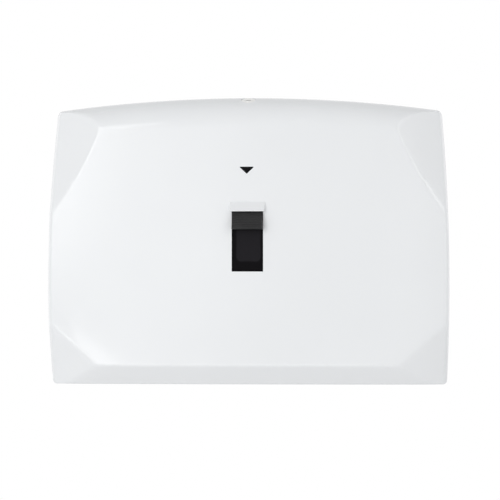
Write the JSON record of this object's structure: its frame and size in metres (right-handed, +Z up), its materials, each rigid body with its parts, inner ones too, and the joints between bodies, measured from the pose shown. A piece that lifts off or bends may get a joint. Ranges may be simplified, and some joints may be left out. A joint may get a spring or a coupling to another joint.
{
  "type": "toilet seat cover dispenser",
  "caption": "Wall dispenser for folded toilet seat covers: white hinged cover with faceted corners, a thumb lever that presses in and slides down, a key lock and a sprung pressure plate.",
  "frame": {"origin": "centre of the four wall screw holes, on the back face that lies against the wall", "axes": "+X to the right seen from the front, +Y into the wall, +Z up; the front faces -Y"},
  "size_m": [0.4024, 0.084, 0.2875],
  "materials": {
    "cover_white": "glossy moulded white",
    "tray_white": "fine spark texture",
    "black_plastic": "moulded satin black",
    "lever_black": "satin black, ribbed",
    "grip_rubber": "matt",
    "steel": "ground and zinc plated",
    "spring_steel": "drawn wire",
    "zinc_sheet": "galvanised sheet",
    "lock_chrome": "satin chrome",
    "acetal": "natural acetal"
  },
  "bodies": {
    "back": {"back_tray": "tray_white", "hinge_pins": "steel", "guide_posts": "steel", "post_clips": "spring_steel", "lock_strike": "zinc_sheet", "strike_screws": "steel"},
    "plate": {"pressure_plate": "zinc_sheet", "plate_bushes": "acetal", "plate_springs": "spring_steel"},
    "cover": {"front_cover": "cover_white", "slide_frame": "black_plastic", "frame_screws": "steel", "guide_rods": "steel", "lock_housing": "lock_chrome", "lock_nut": "lock_chrome"},
    "carriage": {"lever_carriage": "black_plastic", "carriage_bushes": "acetal", "return_springs": "spring_steel"},
    "lever": {"thumb_lever": "lever_black", "grip_pad": "grip_rubber", "press_spring": "spring_steel", "stem_clip": "spring_steel"},
    "lock": {"lock_plug": "lock_chrome", "lock_cam": "zinc_sheet", "cam_screw": "steel"}
  },
  "joints": [
    {"name": "cover_hinge", "type": "hinge", "parent": "back", "child": "cover", "pos_m": [0, -0.01, -0.136], "axis": [1, 0, 0], "range_deg": [0, 90]},
    {"name": "plate_slide", "type": "slide", "parent": "back", "child": "plate", "axis": [0, 1, 0], "range_m": [0, 0.028], "stiffness_N_per_m": 150, "springref_m": -0.03, "deforming": ["plate_springs"]},
    {"name": "lever_slide", "type": "slide", "parent": "cover", "child": "carriage", "axis": [0, 0, -1], "range_m": [0, 0.04], "stiffness_N_per_m": 100, "springref_m": -0.04, "deforming": ["return_springs"]},
    {"name": "lever_press", "type": "slide", "parent": "carriage", "child": "lever", "axis": [0, 1, 0], "range_m": [0, 0.008], "stiffness_N_per_m": 300, "springref_m": -0.01, "deforming": ["press_spring"]},
    {"name": "lock_turn", "type": "hinge", "parent": "cover", "child": "lock", "pos_m": [0, -0.05649, 0.14176], "axis": [0, 0.3746, -0.9272], "range_deg": [0, 90]}
  ]
}
